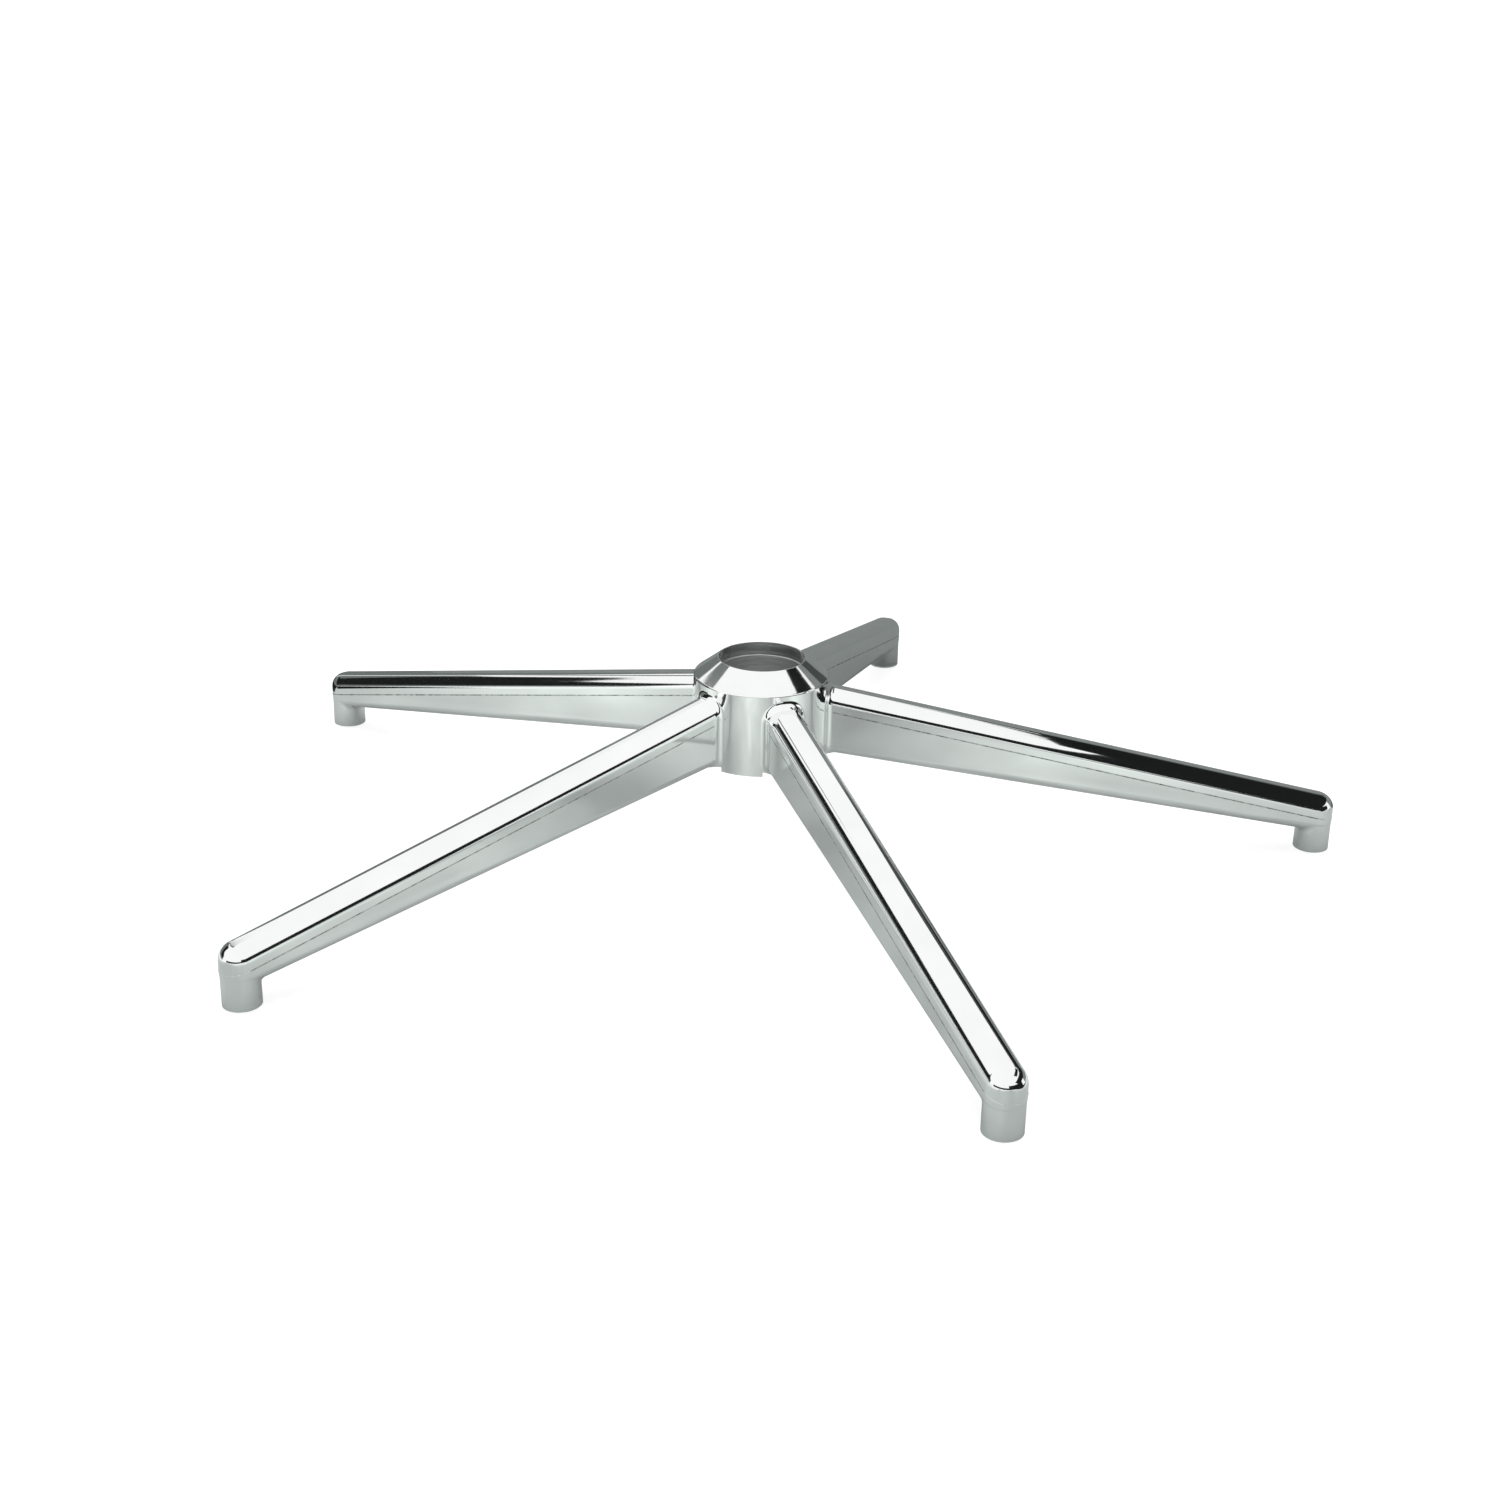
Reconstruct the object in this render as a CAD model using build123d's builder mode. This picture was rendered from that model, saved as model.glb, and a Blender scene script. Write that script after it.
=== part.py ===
"""Five-arm swivel chair base: one polished aluminium casting.

A tapered hub for the chair's lift column carries five arms that slope down to round caster sockets.
Hub, arms and sockets are poured as one piece, which is hollow from below with thin webs.
Frame: +Z up, origin on the hub's axis in the plane of the socket mouths, first arm along +X.
"""
import os
from math import atan2, degrees, hypot, radians, tan

from build123d import *

# Star
arm_count = 5
overall_diameter = 700.0
base_height = 122.0

# Arms: the root is at the hub's upright wall, the tip is on the socket's axis
arm_width = 21.4
arm_root_below_shoulder = 7.0
arm_tip_crown = 36.5
arm_root_underside = 64.5
arm_tip_underside = 14.0
arm_edge_radius = 8.8
arm_lower_radius = 6.0
arm_root_fillet = 5.0

# Hollow under each arm, crossed by thin webs
channel_width = 13.4
channel_roof = 5.0
channel_roof_chamfer = 2.5
web_count = 4
web_thickness = 3.0
web_recess = 4.0
web_embedding = 1.0

# Caster sockets
socket_diameter = 21.0
socket_rim_chamfer = 1.0
socket_throat_radius = 4.0
socket_overlap = 2.0
stem_hole_diameter = 11.0
stem_hole_depth = 24.0

# Hub: a cone on an upright wall, hollow from below round the middle tube
hub_diameter = 80.0
hub_cone_height = 10.5
hub_shoulder_radius = 1.5
hub_skirt_height = 62.0
hub_wall = 4.0
hub_roof = 6.0
hub_rim_land = 0.8
skirt_notch_margin = 1.5

# Seat for the lift column: a short wide mouth, a ledge, then the locking taper
mouth_diameter = 50.6
mouth_depth = 8.0
taper_top_diameter = 49.2
taper_half_angle = 1.4378
tube_wall = 4.5

# How close a point found on a finished edge is taken to be to its stated place
match = 0.05

# Worked out from the sizes above
hub_shoulder_height = base_height - hub_cone_height
arm_root_crown = hub_shoulder_height - arm_root_below_shoulder
arm_end = overall_diameter / 2
caster_circle_radius = arm_end - arm_width / 2
socket_radius = socket_diameter / 2
hub_radius = hub_diameter / 2
arm_pitch = 360.0 / arm_count
tube_radius = taper_top_diameter / 2 + tube_wall
taper_length = base_height - mouth_depth - hub_skirt_height
taper_foot_radius = taper_top_diameter / 2 - taper_length * tan(radians(taper_half_angle))
channel_end = caster_circle_radius - socket_radius - socket_throat_radius
socket_top = arm_tip_underside + arm_lower_radius + socket_overlap
pocket_roof = hub_shoulder_height - hub_roof
between_arms = Plane.XZ.rotated((0, 0, arm_pitch / 2))


def along_arm(root, tip, x):
    """Height at distance x from the hub's axis of a line with these heights at the arm's two ends."""
    return root + (tip - root) * (x - hub_radius) / (caster_circle_radius - hub_radius)


def crown(x):
    """Height of the arm's top."""
    return along_arm(arm_root_crown, arm_tip_crown, x)


def underside(x):
    """Height of the arm's lower edges."""
    return along_arm(arm_root_underside, arm_tip_underside, x)


def is_arm_root(edge):
    """True for an edge where an arm meets the hub's upright wall."""
    for point in (edge @ where for where in (0, 0.3, 0.7, 1)):
        turn = degrees(atan2(point.Y, point.X)) % arm_pitch
        if abs(hypot(point.X, point.Y) - hub_radius) > match or arm_pitch / 3 < turn < arm_pitch * 2 / 3:
            return False
    return arm_root_underside / 2 < edge.center().Z < hub_shoulder_height


def is_throat(edge):
    """True for an edge where the socket meets the underside of its arm."""
    middle = edge @ 0.5
    on_socket = abs(hypot(middle.X - caster_circle_radius, middle.Y) - socket_radius) < match
    return on_socket and arm_tip_underside / 2 < middle.Z < socket_top - match


# One arm with its socket: upright sides, a round end, rounded edges, deep at the hub and shallow at the tip
with BuildPart() as arm:
    with BuildSketch(Plane.XZ):
        with BuildLine():
            Polyline(
                (0, underside(0)),
                (arm_end, underside(arm_end)),
                (arm_end, crown(arm_end)),
                (0, crown(0)),
                close=True,
            )
        make_face()
    extrude(amount=arm_width / 2, both=True)
    with BuildSketch(Plane.XY):
        with Locations((caster_circle_radius, 0)):
            Circle(arm_width / 2)
        with Locations((caster_circle_radius / 2, 0)):
            Rectangle(caster_circle_radius, arm_width)
    extrude(amount=2 * base_height, mode=Mode.INTERSECT)
    flats = arm.faces().filter_by(GeomType.PLANE).sort_by(lambda face: face.normal_at().Z)
    fillet(flats[-1].edges().sort_by(Axis.X)[1:], radius=arm_edge_radius)
    flats = arm.faces().filter_by(GeomType.PLANE).sort_by(lambda face: face.normal_at().Z)
    fillet(flats[0].edges().sort_by(Axis.X)[1:], radius=arm_lower_radius)
    with BuildSketch(Plane.XY):
        with Locations((caster_circle_radius, 0)):
            Circle(socket_radius)
    extrude(amount=socket_top)
    fillet(arm.edges().filter_by(is_throat), radius=socket_throat_radius)
    chamfer(arm.faces().sort_by(Axis.Z)[0].edges(), length=socket_rim_chamfer)

# Hollow of one arm, open below, from inside the hub out to the socket
with BuildPart() as channel:
    with BuildSketch(Plane.XZ):
        with BuildLine():
            Polyline(
                (tube_radius - tube_wall / 2, 0),
                (channel_end, 0),
                (channel_end, crown(channel_end) - channel_roof),
                (tube_radius - tube_wall / 2, crown(tube_radius - tube_wall / 2) - channel_roof),
                close=True,
            )
        make_face()
    extrude(amount=channel_width / 2, both=True)
    roof = channel.faces().sort_by(lambda face: face.normal_at().Z)[-1]
    chamfer(roof.edges().filter_by(Axis.Y, reverse=True), length=channel_roof_chamfer)

# Room under one arm's root, so that the hub's skirt shows only between the arms
with BuildPart() as notch:
    with BuildSketch(Plane.XZ):
        with BuildLine():
            Polyline(
                (tube_radius, 0),
                (hub_radius + arm_root_fillet, 0),
                (hub_radius + arm_root_fillet, underside(hub_radius + arm_root_fillet)),
                (tube_radius, underside(tube_radius)),
                close=True,
            )
        make_face()
    extrude(amount=arm_width / 2 + skirt_notch_margin, both=True)

# Ring-shaped hollow of the hub, parted by the roots of the arms
with BuildPart() as pockets:
    with BuildSketch(Plane.XY):
        Circle(hub_radius - hub_wall)
        Circle(tube_radius, mode=Mode.SUBTRACT)
        with PolarLocations(0, arm_count):
            Rectangle(2 * hub_radius, arm_width, align=(Align.MIN, Align.CENTER), mode=Mode.SUBTRACT)
    extrude(amount=pocket_roof)

# Thin webs that cross one arm's hollow and stop short of its lower edges
with BuildPart() as webs:
    for number in range(1, web_count + 1):
        place = hub_radius + number * (channel_end - hub_radius) / (web_count + 1)
        foot = underside(place) + web_recess
        with BuildSketch(Plane.YZ.offset(place - web_thickness / 2)):
            with Locations((0, foot)):
                Rectangle(
                    channel_width + 2 * web_embedding,
                    crown(place) - channel_roof + web_embedding - foot,
                    align=(Align.CENTER, Align.MIN),
                )
        extrude(amount=web_thickness)

# Hole through the hub for the lift column
with BuildPart() as seat:
    with BuildSketch(between_arms):
        with BuildLine():
            Polyline(
                (0, hub_skirt_height),
                (taper_foot_radius, hub_skirt_height),
                (taper_top_diameter / 2, base_height - mouth_depth),
                (mouth_diameter / 2, base_height - mouth_depth),
                (mouth_diameter / 2, base_height),
                (0, base_height),
                close=True,
            )
        make_face()
    revolve(axis=Axis.Z)

# The whole casting
with BuildPart() as star_base:
    with BuildSketch(between_arms):
        with BuildLine():
            Polyline(
                (0, 0),
                (hub_radius, 0),
                (hub_radius, hub_shoulder_height),
                (mouth_diameter / 2 + hub_rim_land, base_height),
                (0, base_height),
                close=True,
            )
        outline = make_face()
        shoulder = outline.vertices().group_by(Axis.X)[-1].sort_by(Axis.Y)[-1]
        fillet(shoulder, radius=hub_shoulder_radius)
    revolve(axis=Axis.Z)
    with PolarLocations(0, arm_count):
        add(arm.part)
    fillet(star_base.edges().filter_by(is_arm_root), radius=arm_root_fillet)
    Cylinder(
        hub_radius + arm_root_fillet,
        hub_skirt_height,
        align=(Align.CENTER, Align.CENTER, Align.MIN),
        mode=Mode.SUBTRACT,
    )
    with PolarLocations(0, arm_count):
        add(channel.part, mode=Mode.SUBTRACT)
    with PolarLocations(0, arm_count):
        add(notch.part, mode=Mode.SUBTRACT)
    add(pockets.part, mode=Mode.SUBTRACT)
    with Locations((0, 0, hub_skirt_height)):
        Cylinder(tube_radius, pocket_roof - hub_skirt_height, align=(Align.CENTER, Align.CENTER, Align.MIN))
    with PolarLocations(0, arm_count):
        add(webs.part)
    add(seat.part, mode=Mode.SUBTRACT)
    with PolarLocations(caster_circle_radius, arm_count):
        Cylinder(
            stem_hole_diameter / 2,
            stem_hole_depth,
            align=(Align.CENTER, Align.CENTER, Align.MIN),
            mode=Mode.SUBTRACT,
        )

star_base.part.label = "star_base"
os.makedirs("parts", exist_ok=True)
export_step(star_base.part, "parts/star_base.step")
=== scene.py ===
"""Swivel chair base: one five-armed star of polished cast aluminium, dressed for its photograph."""
from math import cos, hypot, pi, radians, sin, sqrt

import bpy
import numpy as np
from mathutils import Matrix, Vector


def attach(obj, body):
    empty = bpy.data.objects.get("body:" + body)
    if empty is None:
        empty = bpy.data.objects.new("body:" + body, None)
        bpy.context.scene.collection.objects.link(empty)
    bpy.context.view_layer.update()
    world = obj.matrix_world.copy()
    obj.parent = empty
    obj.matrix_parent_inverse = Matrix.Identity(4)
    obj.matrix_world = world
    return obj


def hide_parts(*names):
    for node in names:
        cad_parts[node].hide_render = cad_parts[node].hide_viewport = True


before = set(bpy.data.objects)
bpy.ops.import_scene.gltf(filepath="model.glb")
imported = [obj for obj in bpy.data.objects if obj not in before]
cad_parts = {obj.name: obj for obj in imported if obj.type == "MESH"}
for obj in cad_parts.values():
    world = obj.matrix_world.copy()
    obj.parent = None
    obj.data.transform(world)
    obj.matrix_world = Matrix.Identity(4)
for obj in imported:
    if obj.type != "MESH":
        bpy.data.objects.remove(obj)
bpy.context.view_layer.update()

# The casting: hub, arms and caster sockets poured as one piece of aluminium in a two-part mould.
# The mould leaves a fine parting line round each arm, and the sides lean in a little below it.
# The outside is ground and polished bright, the hollow underside stays as cast.
arm_count = 5
hub_radius = 0.040
tip_radius = 0.3393
arm_half_width = 0.0107
crown_at_hub, crown_at_tip = 0.1045, 0.0365
underside_at_hub, underside_at_tip = 0.0645, 0.014
crown_edge, lower_edge = 0.0088, 0.006
root_fillet, throat_fillet = 0.005, 0.004
socket_radius = 0.0105
shoulder_height, shoulder_radius = 0.1115, 0.0015
rim_height, rim_radius = 0.122, 0.0261
mouth_radius, ledge_height = 0.0253, 0.114
taper_radius, taper_slope = 0.0246, 0.0251
on_surface = 0.00002
path_steps = 721

crown_slope = (crown_at_hub - crown_at_tip) / (tip_radius - hub_radius)
lower_slope = (underside_at_hub - underside_at_tip) / (tip_radius - hub_radius)
crown_cosine = 1 / hypot(1, crown_slope)
lower_cosine = 1 / hypot(1, lower_slope)


def crown(along):
    """Height of an arm's top at this distance from the hub's axis."""
    return crown_at_hub - crown_slope * (along - hub_radius)


def underside(along):
    """Height of an arm's lower edges at this distance from the hub's axis."""
    return underside_at_hub - lower_slope * (along - hub_radius)


def nearest_on(path, points):
    """Nearest place to each point on a closely spaced path."""
    batch = 2000
    best = np.zeros_like(points)
    for start in range(0, len(points), batch):
        some = points[start:start + batch]
        gaps = np.linalg.norm(some[:, None, :] - path[None, :, :], axis=2)
        middle = gaps.argmin(axis=1)
        shortest = np.full(len(some), np.inf)
        for first in (np.maximum(middle - 1, 0), np.minimum(middle, len(path) - 2)):
            step = path[first + 1] - path[first]
            part = ((some - path[first]) * step).sum(axis=1) / (step * step).sum(axis=1)
            foot = path[first] + step * np.clip(part, 0, 1)[:, None]
            gap = np.linalg.norm(some - foot, axis=1)
            closer = gap < shortest
            shortest[closer] = gap[closer]
            best[start:start + batch][closer] = foot[closer]
    return best


def end_path(core_width, height, slope_cosine, radius, side):
    """Centre line of the rounding that runs round an arm's end."""
    turn = np.linspace(-pi / 2, pi / 2, path_steps)
    along = tip_radius + core_width * np.cos(turn)
    level = height(along) + side * radius / slope_cosine
    return np.stack([along, core_width * np.sin(turn), level], axis=1)


def root_path():
    """Centre line of the fillet between the hub's wall and one arm."""
    reach = hub_radius + root_fillet
    core = arm_half_width - crown_edge
    ball = crown_edge + root_fillet
    low_core = arm_half_width - lower_edge
    low_ball = lower_edge + root_fillet
    crown_steps, corner_steps = 60, 300
    turn = np.linspace(0, pi / 2, corner_steps)
    half = [(across, crown(np.sqrt(reach**2 - across**2)) + root_fillet / crown_cosine)
            for across in np.linspace(0, core, crown_steps)]
    for angle in turn[1:]:
        across = core + ball * sin(angle)
        level = crown(np.sqrt(reach**2 - across**2)) + (ball * cos(angle) - crown_edge) / crown_cosine
        half.append((across, level))
    for angle in turn[::-1][:-1]:
        across = low_core + low_ball * sin(angle)
        foot = underside(np.sqrt(reach**2 - across**2))
        half.append((across, foot + (lower_edge - low_ball * cos(angle)) / lower_cosine))
    half = np.array(half)
    whole = np.concatenate([half[::-1] * (-1, 1), half[1:]])
    return np.stack([np.sqrt(reach**2 - whole[:, 0]**2), whole[:, 0], whole[:, 1]], axis=1)


def throat_path():
    """Centre line of the fillet between a socket and the underside of its arm."""
    reach = socket_radius + throat_fillet
    core = arm_half_width - lower_edge
    ball = lower_edge + throat_fillet
    end = end_path(core, underside, lower_cosine, lower_edge, 1)
    halvings = 30
    places = []
    for turn in np.linspace(-pi, pi, path_steps):
        along, across = tip_radius + reach * cos(turn), reach * sin(turn)
        plane = underside(along) + lower_edge / lower_cosine
        if along <= tip_radius:
            over = max(abs(across) - core, 0)
            places.append((along, across, plane - sqrt(ball**2 - over**2) / lower_cosine))
        else:
            low, high = plane - ball, plane + ball
            for _ in range(halvings):
                level = (low + high) / 2
                gap = np.linalg.norm(end - (along, across, level), axis=1).min()
                below = end[:, 2].mean() > level
                low, high = (level, high) if gap > ball and below else (low, level)
            places.append((along, across, low))
    return np.array(places)


def unit(vectors):
    """The same directions at length one."""
    shortest = 1e-12
    return vectors / np.maximum(np.linalg.norm(vectors, axis=1), shortest)[:, None]


def rounded(points, centres, radius, outward=1, within=on_surface):
    """Directions square to a rounding of this radius, and which points lie on it."""
    reach = points - centres
    return unit(reach * outward), abs(np.linalg.norm(reach, axis=1) - radius) < within


def arm_skins(points):
    """Exact directions of each rounded surface of one arm along +X, with the points that lie on it."""
    along, across, level = points.T
    side = np.sign(across)
    flat = np.zeros_like(along)
    beyond = along > tip_radius - on_surface
    skins = []
    for height, slope, cosine, radius, up in (
        (crown, crown_slope, crown_cosine, crown_edge, 1),
        (underside, lower_slope, lower_cosine, lower_edge, -1),
    ):
        core = arm_half_width - radius
        plane = np.tile([up * slope * cosine, 0, up * cosine], (len(points), 1))
        skins.append((plane, abs(level - height(along)) < on_surface))
        depth = (level - height(along)) * cosine + up * radius
        offset = np.stack([depth * slope * cosine, across - side * core, depth * cosine], axis=1)
        fits = abs(np.linalg.norm(offset, axis=1) - radius) < on_surface
        skins.append((unit(offset), fits & ~beyond & (abs(across) > core) & (depth * up > -on_surface)))
        middle = nearest_on(end_path(core, height, cosine, radius, -up), points)
        direction, fits = rounded(points, middle, radius, within=3 * on_surface)
        skins.append((direction, fits & beyond))
    straight = np.stack([flat, side, flat], axis=1)
    skins.append((straight, (abs(abs(across) - arm_half_width) < on_surface) & ~beyond))
    spoke = np.stack([along - tip_radius, across, flat], axis=1)
    span = np.linalg.norm(spoke, axis=1)
    skins.append((unit(spoke), (abs(span - arm_half_width) < 5 * on_surface) & beyond))
    skins.append((unit(spoke), abs(span - socket_radius) < on_surface))
    for path, radius in ((root_path(), root_fillet), (throat_path(), throat_fillet)):
        direction, fits = rounded(points, nearest_on(path, points), radius, outward=-1)
        skins.append((direction, fits))
    return skins


def hub_skins(points):
    """Exact directions of the hub's wall, shoulder, cone and bore, with the points that lie on each."""
    level = points[:, 2]
    spoke = points * (1, 1, 0)
    span = np.linalg.norm(spoke, axis=1)
    out = unit(spoke)
    up = np.array([0, 0, 1.0])
    fall = Vector((rim_height - shoulder_height, hub_radius - rim_radius)).normalized()
    cone_gap = (span - rim_radius) * fall[0] + (level - rim_height) * fall[1]
    cone = out * fall[0] + up * fall[1]
    centre_span = hub_radius - shoulder_radius
    centre_level = rim_height - ((centre_span - rim_radius) * fall[0] + shoulder_radius) / fall[1]
    shoulder = out * centre_span + up * centre_level
    direction, fits = rounded(points, shoulder, shoulder_radius)
    bore = -out + up * taper_slope
    taper_span = taper_radius - (ledge_height - level) * taper_slope
    return [
        (out, abs(span - hub_radius) < on_surface),
        (cone, (abs(cone_gap) < on_surface) & (level > centre_level)),
        (direction, fits & (span > centre_span)),
        (-out, (abs(span - mouth_radius) < on_surface) & (level > ledge_height - on_surface)),
        (unit(bore), (abs(span - taper_span) < on_surface) & (level < ledge_height + on_surface)),
    ]


casting = bpy.data.objects.new("casting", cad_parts["star_base"].data.copy())
bpy.context.scene.collection.objects.link(casting)
bpy.ops.object.select_all(action="DESELECT")
bpy.context.view_layer.objects.active = casting
casting.select_set(True)
bpy.ops.object.mode_set(mode="EDIT")
bpy.ops.mesh.select_all(action="SELECT")
bpy.ops.mesh.remove_doubles(threshold=on_surface / 10)
bpy.ops.object.mode_set(mode="OBJECT")

# The parting line: a fine raised ridge where the halves of the mould met.
seam_below_crown = 0.0130
ridge_half_width = 0.00035
ridge_height = 0.00022
side_margin, skin_depth = 0.001, 0.0008
upright_limit = 0.2


def select_sides(back):
    """Selects the faces on the sides and round the end of the arm that this matrix turns to +X."""
    for face in casting.data.polygons:
        middle = back @ face.center
        beyond_hub = middle.x > hub_radius and hypot(middle.x, middle.y) > hub_radius + root_fillet
        near_arm = abs(middle.y) < arm_half_width + side_margin
        upright = abs((back @ face.normal).z) < upright_limit
        outside = hypot(max(middle.x - tip_radius, 0), middle.y) > arm_half_width - skin_depth
        face.select = beyond_hub and near_arm and upright and outside


for arm in range(arm_count):
    turn = Matrix.Rotation(2 * pi * arm / arm_count, 3, "Z")
    for shift in (-ridge_half_width, 0, ridge_half_width):
        select_sides(turn.inverted())
        bpy.ops.object.mode_set(mode="EDIT")
        bpy.ops.mesh.bisect(
            plane_co=turn @ Vector((hub_radius, 0, crown_at_hub - seam_below_crown + shift)),
            plane_no=turn @ Vector((crown_slope, 0, 1)),
        )
        bpy.ops.object.mode_set(mode="OBJECT")


def spun(points, turn):
    """Points or directions turned about the hub's axis."""
    x, y, z = points.T
    cosine, sine = np.cos(turn), np.sin(turn)
    return np.stack([x * cosine - y * sine, x * sine + y * cosine, z], axis=1)


def arm_frame(points):
    """Each point turned back to the arm along +X, with the angle that it was turned by."""
    pitch = 2 * pi / arm_count
    turn = np.round(np.arctan2(points[:, 1], points[:, 0]) / pitch) * pitch
    return spun(points, -turn), turn


def array_of(collection, name, width):
    """One property of all a mesh's elements as an array."""
    values = np.zeros(len(collection) * width, np.float64 if width > 1 else np.int64)
    collection.foreach_get(name, values)
    return values.reshape(-1, width) if width > 1 else values


mesh = casting.data
points = array_of(mesh.vertices, "co", 3)
local, turn = arm_frame(points)
skins = [(spun(direction, turn), fits) for direction, fits in arm_skins(local)] + hub_skins(points)

# The sides lean in below the parting line, and the ridge stands proud of them.
lean = 0.07
lean_start, lean_full = 0.0455, 0.060
lean_stop_before_tip, lean_fade = 0.018, 0.02
channel_half_width = 0.0067
leaning_from = channel_half_width + 0.0005
ridge_reach = 0.0105
along, across, level = local.T
below = crown(along) - seam_below_crown - level
outer_part = np.clip((abs(across) - leaning_from) / (arm_half_width - leaning_from), 0, 1)
ramp = np.clip((along - lean_start) / (lean_full - lean_start), 0, 1)
ramp = ramp * np.clip((tip_radius - lean_stop_before_tip - along) / lean_fade, 0, 1)
pull = lean * ramp * outer_part * np.maximum(below, 0) * np.sign(across)
centre = np.stack([np.minimum(along, tip_radius), np.zeros_like(along), level], axis=1)
from_centre = unit(local - centre)
on_ridge = (abs(below) < ridge_half_width / 4) & (along > hub_radius + root_fillet)
on_ridge &= np.linalg.norm(local - centre, axis=1) > ridge_reach
moved = local - np.stack([np.zeros_like(along), pull, np.zeros_like(along)], axis=1)
moved[on_ridge] += from_centre[on_ridge] * ridge_height
mesh.vertices.foreach_set("co", spun(moved, turn).ravel())
mesh.update()

# Polished metal shows every facet, so each corner takes the true direction of its rounded surface.
smooth_angle, widest_turn = 28, 13
bpy.ops.object.shade_smooth_by_angle(angle=radians(smooth_angle))
corner_vertex = array_of(mesh.loops, "vertex_index", 1)
corner_normal = np.array([tuple(corner.vector) for corner in mesh.corner_normals])
corners_of_face = array_of(mesh.polygons, "loop_total", 1)
face_normal = np.repeat(array_of(mesh.polygons, "normal", 3), corners_of_face, axis=0)
tilt = np.where(below > ridge_half_width / 2, lean * ramp * outer_part, 0)
best = np.full(len(corner_vertex), cos(radians(widest_turn)))
for direction, fits in skins:
    turned = spun(direction, -turn)
    turned[:, 2] -= tilt * abs(turned[:, 1])
    turned = spun(unit(turned), turn)[corner_vertex]
    match = (turned * face_normal).sum(axis=1)
    better = fits[corner_vertex] & (match > best)
    best[better] = match[better]
    corner_normal[better] = turned[better]
mesh.normals_split_custom_set(corner_normal.tolist())


def noise_of(material, scale, detail, stretch=(1, 1, 1)):
    """A noise texture on the object's own coordinates, finer or coarser along each axis."""
    nodes, links = material.node_tree.nodes, material.node_tree.links
    place = nodes.new("ShaderNodeTexCoord")
    fit = nodes.new("ShaderNodeMapping")
    fit.inputs["Scale"].default_value = stretch
    texture = nodes.new("ShaderNodeTexNoise")
    texture.inputs["Scale"].default_value = scale
    texture.inputs["Detail"].default_value = detail
    links.new(place.outputs["Object"], fit.inputs["Vector"])
    links.new(fit.outputs["Vector"], texture.inputs["Vector"])
    return texture.outputs["Fac"]


def aluminium(name, dark, light, smooth, rough, scale, stretch=(1, 1, 1), relief=0.0, depth=0.0001):
    """Aluminium whose colour, gloss and relief vary together over the surface."""
    material = bpy.data.materials.new(name)
    material.use_nodes = True
    nodes, links = material.node_tree.nodes, material.node_tree.links
    shader = nodes["Principled BSDF"]
    shader.inputs["Metallic"].default_value = 1.0
    grain = noise_of(material, scale, detail=4.0, stretch=stretch)
    tone = nodes.new("ShaderNodeValToRGB")
    for stop, position, colour in zip(tone.color_ramp.elements, (0.3, 0.7), (dark, light)):
        stop.position = position
        stop.color = (*colour, 1)
    links.new(grain, tone.inputs["Fac"])
    links.new(tone.outputs["Color"], shader.inputs["Base Color"])
    gloss = nodes.new("ShaderNodeMapRange")
    gloss.inputs["To Min"].default_value = smooth
    gloss.inputs["To Max"].default_value = rough
    links.new(grain, gloss.inputs["Value"])
    links.new(gloss.outputs["Result"], shader.inputs["Roughness"])
    if relief:
        bump = nodes.new("ShaderNodeBump")
        bump.inputs["Strength"].default_value = relief
        bump.inputs["Distance"].default_value = depth
        links.new(grain, bump.inputs["Height"])
        links.new(bump.outputs["Normal"], shader.inputs["Normal"])
    return material


mesh.materials.clear()
mesh.materials.append(aluminium(
    "polished_aluminium", dark=(0.91, 0.925, 0.92), light=(0.955, 0.965, 0.96),
    smooth=0.05, rough=0.10, scale=35.0,
))
mesh.materials.append(aluminium(
    "cast_aluminium", dark=(0.50, 0.51, 0.51), light=(0.66, 0.67, 0.665),
    smooth=0.5, rough=0.65, scale=700.0, relief=0.5, depth=0.0002,
))
mesh.materials.append(aluminium(
    "machined_aluminium", dark=(0.52, 0.53, 0.53), light=(0.74, 0.75, 0.74),
    smooth=0.34, rough=0.5, scale=60.0, stretch=(1, 1, 40), relief=0.25,
))
mesh.materials.append(aluminium(
    "turned_bright_aluminium", dark=(0.45, 0.46, 0.46), light=(1.0, 1.0, 1.0),
    smooth=0.06, rough=0.24, scale=30.0, stretch=(1, 1, 9), relief=1.0, depth=0.0006,
))
# The parting line's trace: rough metal, darkened further as painted shade below the ridge.
mesh.materials.append(aluminium(
    "parting_line_and_shade", dark=(0.12, 0.125, 0.125), light=(0.72, 0.74, 0.73),
    smooth=0.3, rough=0.5, scale=260.0,
))
polished, as_cast, machined, turned_bright, parting_line_and_shade = range(5)

# The hollow underside stays as cast, the seat and the stem holes are turned and bored,
# the seat's mouth is turned bright, and the parting line keeps a rough, broken trace whose dark tone is
# partly painted shade below the ridge.
# Each finish goes on the faces whose middles lie within these bounds.
margin = 0.0001
hub_wall, hub_roof, channel_roof = 0.004, 0.006, 0.005
channel_start, channel_end = 0.034, tip_radius - socket_radius - throat_fillet
seat_foot = 0.062
stem_hole_radius, stem_hole_depth = 0.0055, 0.024
seam_end_before_tip = 0.012
facing_down = -0.9
middles = array_of(mesh.polygons, "center", 3)
facing = array_of(mesh.polygons, "normal", 3)
span = np.hypot(middles[:, 0], middles[:, 1])
along, across, level = arm_frame(middles)[0].T
in_hub = (span < hub_radius - hub_wall + 5 * margin) & (level < shoulder_height - hub_roof + 10 * margin)
in_arm = (abs(across) < channel_half_width + margin) & (level < crown(along) - channel_roof + 5 * margin)
in_arm &= (span > channel_start) & (along < channel_end + 2 * margin)
under_skirt = (span < hub_radius + root_fillet) & (facing[:, 2] < facing_down)
in_seat = (level > seat_foot + 2 * margin) & (level < rim_height - margin)
in_seat &= span < mouth_radius + 2 * margin
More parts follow.
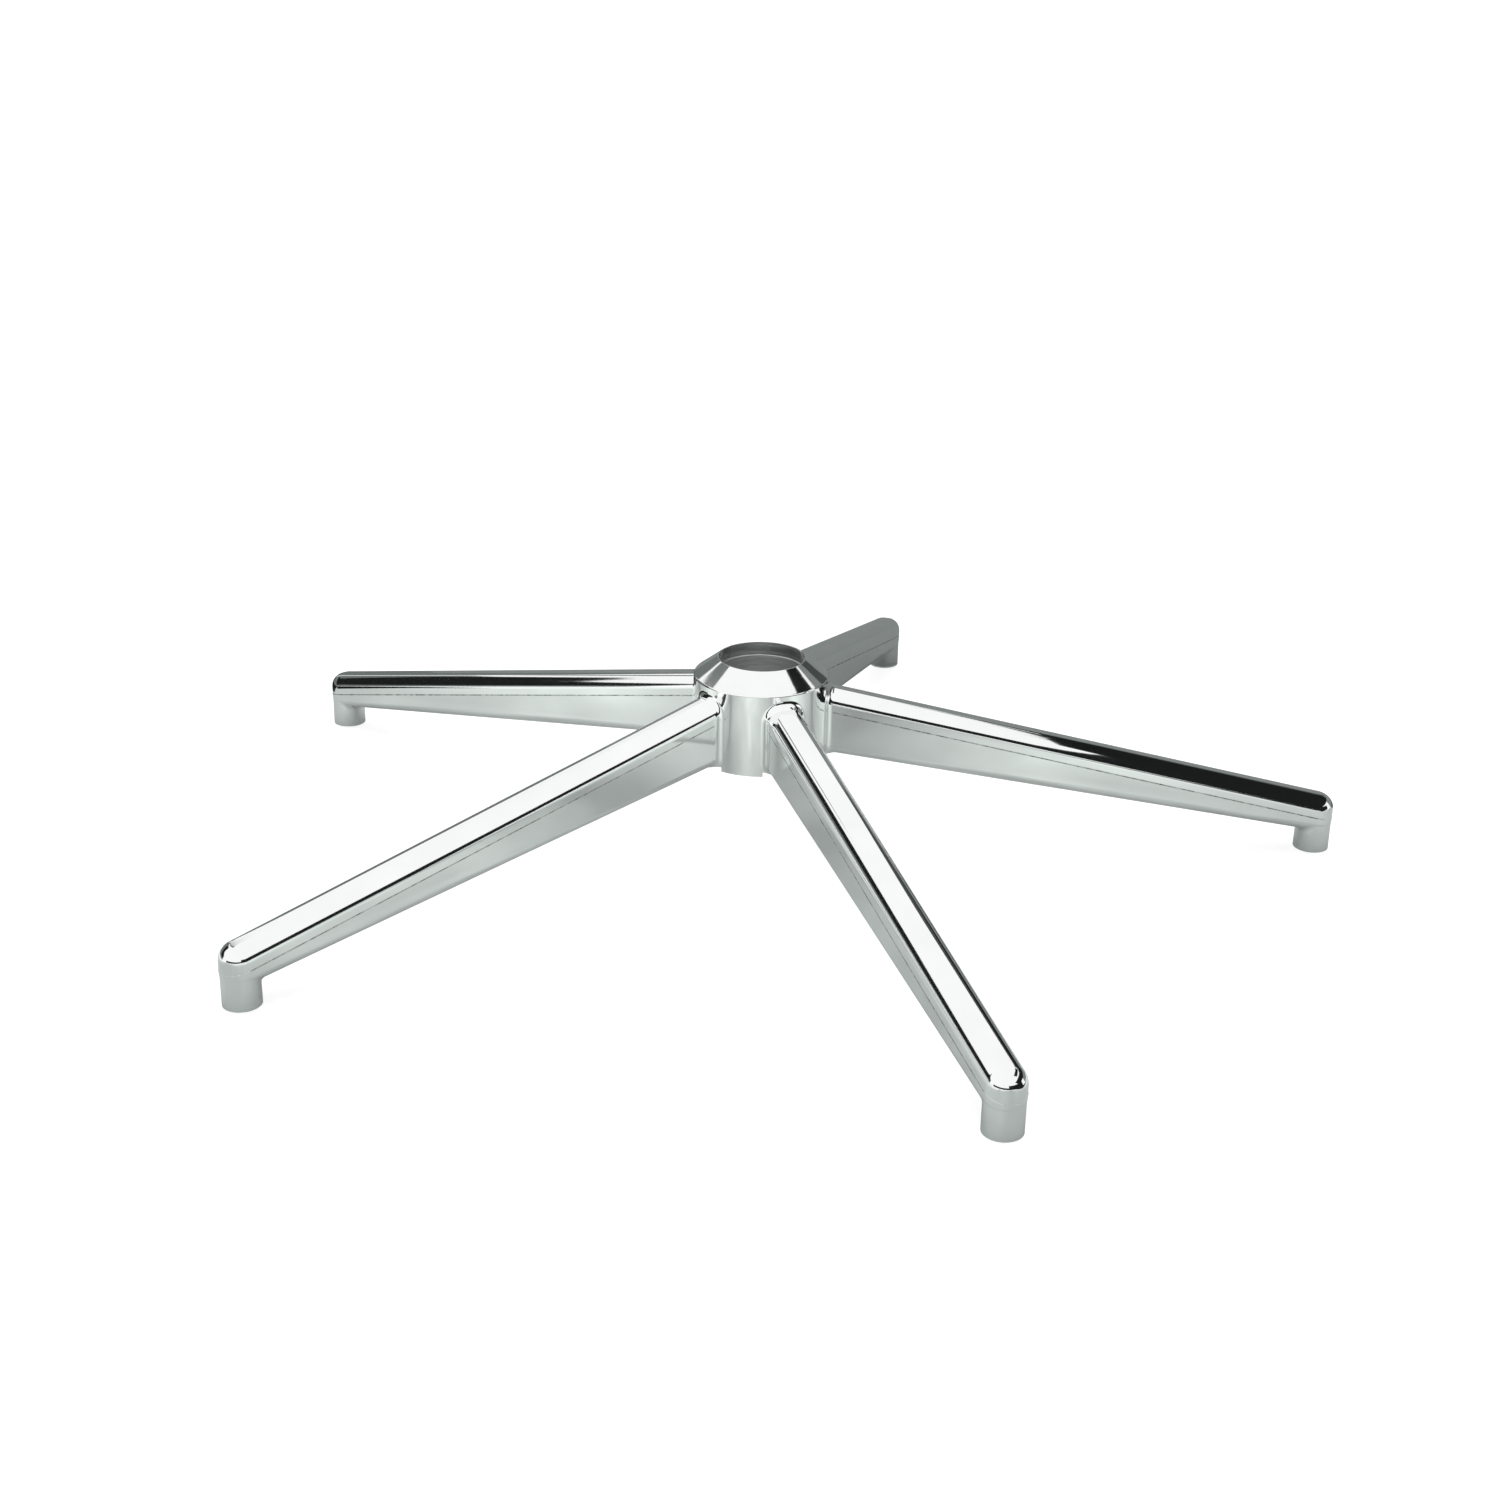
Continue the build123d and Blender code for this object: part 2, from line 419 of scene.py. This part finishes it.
in_mouth = in_seat & (level > ledge_height + 10 * margin)
in_stem_hole = np.hypot(along - tip_radius, across) < stem_hole_radius + margin
in_stem_hole &= level < stem_hole_depth + 5 * margin
seam_gap = crown(along) - seam_below_crown - level
on_seam = (abs(seam_gap) < ridge_half_width) & (along < tip_radius - seam_end_before_tip)
on_seam &= span > hub_radius + root_fillet
finish = np.full(len(middles), polished)
finish[in_hub | in_arm | under_skirt] = as_cast
finish[in_seat | in_stem_hole] = machined
finish[in_mouth] = turned_bright
# The seam's dark tone is partly painted shade below the ridge.
finish[on_seam & (finish == polished)] = parting_line_and_shade
mesh.polygons.foreach_set("material_index", finish)
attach(casting, "root")
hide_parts("star_base")

# The floor: a white paper sweep under the base and far behind it. It glows a little,
# so that the camera sees it as plain white.
floor_level = -0.0004
floor_size = 60


def paper(name, colour):
    """Matt paper of one colour."""
    material = bpy.data.materials.new(name)
    material.use_nodes = True
    shader = material.node_tree.nodes["Principled BSDF"]
    shader.inputs["Base Color"].default_value = (*colour, 1)
    shader.inputs["Roughness"].default_value = 1.0
    shader.inputs["Specular IOR Level"].default_value = 0.0
    return material


bpy.ops.mesh.primitive_plane_add(size=floor_size, location=(0, 0, floor_level))
floor = bpy.context.object
floor.name = "floor"
white_floor = paper("white_floor", (0.55, 0.55, 0.55))
floor_shader = white_floor.node_tree.nodes["Principled BSDF"]
floor_shader.inputs["Emission Color"].default_value = (1, 1, 1, 1)
floor_shader.inputs["Emission Strength"].default_value = 0.6
floor.data.materials.append(white_floor)

# The cards round the set: dark and grey papers out of the picture, as in a studio,
# which only the metal mirrors. They draw its dark lines and grey sides.


def card_of(name, points, faces, material):
    """A card with these points that only the metal's reflections show."""
    mesh = bpy.data.meshes.new(name)
    mesh.from_pydata(points, [], faces)
    mesh.materials.append(material)
    card = bpy.data.objects.new(name, mesh)
    bpy.context.scene.collection.objects.link(card)
    card.visible_camera = False
    card.visible_diffuse = False
    card.visible_shadow = False
    card.visible_volume_scatter = False


def flat_card(name, corners, material):
    """A flat card cut to these corners."""
    card_of(name, corners, [tuple(range(len(corners)))], material)


def standing_card(name, corner, far_corner, high, material):
    """An upright card on the floor between two points."""
    flat_card(name, [(*corner, 0), (*far_corner, 0), (*far_corner, high), (*corner, high)], material)


def bent_card(name, edge, far_edge, start, end, material):
    """A card bent round the object from start to end in degrees, each edge a radius and a height."""
    steps = 48
    turns = [radians(start + (end - start) * i / steps) for i in range(steps + 1)]
    points = [(r * cos(t), r * sin(t), z) for t in turns for r, z in (edge, far_edge)]
    faces = [(2 * i, 2 * i + 1, 2 * i + 3, 2 * i + 2) for i in range(steps)]
    card_of(name, points, faces, material)


black_card = paper("black_card", (0.01, 0.011, 0.011))
dark_card = paper("dark_card", (0.055, 0.062, 0.06))
deep_grey_card = paper("deep_grey_card", (0.13, 0.145, 0.14))
grey_card = paper("grey_card", (0.195, 0.212, 0.205))

# The mat under the base has the arms' shadows painted on: darkest below each arm and pale between the
# arms, with a soft mottle.
painted_shadow_tones = [(0.08, 0.42), (0.16, 0.56), (0.205, 0.66), (0.25, 0.82)]
mat_tint = (0.94, 1.0, 0.97)
mottle_scale, mottle_detail, mottle_reach = 14.0, 2.0, 0.14
# The mat's tone is painted shadow of the arms, not the paper's own colour.
painted_shadow_mat = paper("painted_shadow_mat", (0.5, 0.5, 0.5))
mat_nodes, mat_links = painted_shadow_mat.node_tree.nodes, painted_shadow_mat.node_tree.links
mat_place = mat_nodes.new("ShaderNodeTexCoord")
mat_split = mat_nodes.new("ShaderNodeSeparateXYZ")
mat_reach = mat_nodes.new("ShaderNodeVectorMath")
mat_reach.operation = "LENGTH"
mat_turn, mat_fold, mat_sine, mat_gap, mat_mottle = [mat_nodes.new("ShaderNodeMath") for _ in range(5)]
mat_turn.operation = "ARCTAN2"
mat_fold.operation = "PINGPONG"
mat_fold.inputs[1].default_value = pi / arm_count
mat_sine.operation = "SINE"
mat_gap.operation = "MULTIPLY"
mat_mottle.operation = "MULTIPLY_ADD"
mat_mottle.inputs[1].default_value = mottle_reach
mat_tone = mat_nodes.new("ShaderNodeValToRGB")
mat_tone.color_ramp.elements.remove(mat_tone.color_ramp.elements[1])
for number, (gap, tone) in enumerate(painted_shadow_tones):
    element = mat_tone.color_ramp.elements.new(gap) if number else mat_tone.color_ramp.elements[0]
    element.position = gap
    element.color = (*(tone * part for part in mat_tint), 1)
mat_links.new(mat_place.outputs["Object"], mat_split.inputs["Vector"])
mat_links.new(mat_place.outputs["Object"], mat_reach.inputs[0])
mat_links.new(mat_split.outputs["Y"], mat_turn.inputs[0])
mat_links.new(mat_split.outputs["X"], mat_turn.inputs[1])
mat_links.new(mat_turn.outputs["Value"], mat_fold.inputs[0])
mat_links.new(mat_fold.outputs["Value"], mat_sine.inputs[0])
mat_links.new(mat_sine.outputs["Value"], mat_gap.inputs[0])
mat_links.new(mat_reach.outputs["Value"], mat_gap.inputs[1])
mat_links.new(noise_of(painted_shadow_mat, mottle_scale, mottle_detail), mat_mottle.inputs[0])
mat_links.new(mat_gap.outputs["Value"], mat_mottle.inputs[2])
mat_links.new(mat_mottle.outputs["Value"], mat_tone.inputs["Fac"])
mat_links.new(mat_tone.outputs["Color"], mat_nodes["Principled BSDF"].inputs["Base Color"])

# Papers on the floor, each a sheet's thickness over the one below.
sheet = 0.001
wall_radius = 1.7
# The mat with the arms' shadows painted on, seen only in the metal.
bent_card("painted_shadow_floor_mat", (0, sheet), (0.85, sheet), 0, 360, painted_shadow_mat)
bent_card("back_mat", (0.16, 2 * sheet), (1.9, 2 * sheet), 12, 106, grey_card)
bent_card("left_dark_floor", (0.40, 3 * sheet), (wall_radius, 3 * sheet), 105, 172, black_card)
bent_card("right_dark_floor", (0.42, 3 * sheet), (wall_radius, 3 * sheet), 303, 344, black_card)
flat_card(
    "back_strip",
    [(x, y, 3 * sheet) for x, y in (
        (0.10, 0.22), (0.20, 0.14), (0.30, 0.09), (0.40, 0.05), (0.80, 0.05), (0.80, 0.36), (0.36, 0.34))],
    dark_card,
)

# Low black walls far out, which show as thin dark lines along the edges of the arms.
bent_card("left_dark_wall", (wall_radius, 0), (wall_radius, 0.24), 105, 175, black_card)
bent_card("front_dark_wall", (wall_radius, 0), (wall_radius, 0.26), 210, 280, black_card)
bent_card("right_dark_wall", (wall_radius, 0), (wall_radius, 0.62), 280, 345, black_card)

# Grey walls at the back and at both sides, with darker papers in front of them or above.
back_y, left_x = 1.3, -1.06
pinned = 0.01
standing_card("back_wall", (-0.94, back_y), (1.3, back_y), 1.0, grey_card)
standing_card("back_left_wall", (-0.94, back_y - pinned), (-0.42, back_y - pinned), 1.0, deep_grey_card)
standing_card("right_wall", (1.3, back_y), (2.4, 0.2), 1.6, grey_card)
flat_card(
    "back_dark",
    [(x, back_y - pinned, z) for x, z in (
        (0.72, 0.5), (0.70, 0.75), (0.75, 1.45), (1.3, 1.45), (1.3, 0.5))],
    dark_card,
)
flat_card(
    "left_wall",
    [(left_x, y, z) for y, z in (
        (-0.22, 0.0), (-0.22, 0.2), (0.08, 0.4), (0.40, 0.62), (0.65, 0.80), (0.80, 0.86), (1.3, 0.95),
        (1.3, 0.0))],
    deep_grey_card,
)
flat_card(
    "left_peak",
    [(left_x, y, z) for y, z in (
        (1.3, 1.0), (1.22, 1.02), (0.95, 1.12), (0.66, 1.34), (0.68, 1.42), (0.80, 1.48), (0.95, 1.48),
        (1.3, 1.3))],
    deep_grey_card,
)
flat_card(
    "left_band",
    [(left_x + pinned, y, z) for y, z in (
        (0.80, 0.88), (0.54, 0.92), (0.28, 0.74), (0.08, 0.48), (-0.22, 0.28), (-0.22, 0.12), (0.16, 0.12),
        (0.30, 0.27), (0.46, 0.42), (0.72, 0.60), (0.95, 0.80))],
    black_card,
)

# Black flags overhead: a low one that the right arm mirrors, a high one for the hub's cone.
low_flag_height, ceiling_height = 0.2, 2.5
flat_card(
    "low_flag",
    [(x, y, low_flag_height) for x, y in (
        (0.245, 0.20), (0.235, 0.0), (0.25, -0.08), (0.285, -0.10), (0.295, -0.5), (0.6, -0.57),
        (0.6, -0.26), (0.6, 0.22))],
    black_card,
)
flat_card(
    "ceiling_flag",
    [(x, y, ceiling_height) for x, y in ((1.42, -0.305), (2.22, -0.305), (2.22, 1.945), (1.42, 1.945))],
    black_card,
)

# Light: an even white room and one large soft lamp overhead, which the metal doesn't mirror.
world = bpy.data.worlds.new("white_room")
bpy.context.scene.world = world
world.use_nodes = True
world.node_tree.nodes["Background"].inputs["Color"].default_value = (1, 1, 1, 1)
world.node_tree.nodes["Background"].inputs["Strength"].default_value = 1.0

bpy.ops.object.light_add(type="AREA", location=(-0.3, 0.1, 1.4))
softbox = bpy.context.object
softbox.name = "softbox"
softbox.data.shape = "SQUARE"
softbox.data.size = 1.8
softbox.data.energy = 6.0
softbox.visible_glossy = False

# Camera: at the photograph's height and distance, looking a little down on the hub.
camera_place = Vector((-0.0510, -1.1996, 0.5544))
camera_pitch = 22.281
camera_heading = 2.154
camera_roll = 1.103
camera_lens = 52.09
bpy.ops.object.camera_add()
camera = bpy.context.object
camera.name = "camera"
camera.data.sensor_fit = "HORIZONTAL"
camera.data.sensor_width = 36
camera.data.lens = camera_lens
camera.matrix_world = (
    Matrix.Translation(camera_place)
    @ Matrix.Rotation(radians(-camera_heading), 4, "Z")
    @ Matrix.Rotation(radians(90 - camera_pitch), 4, "X")
    @ Matrix.Rotation(radians(camera_roll), 4, "Z")
)
bpy.context.scene.camera = camera
bpy.context.scene.view_settings.view_transform = "Standard"
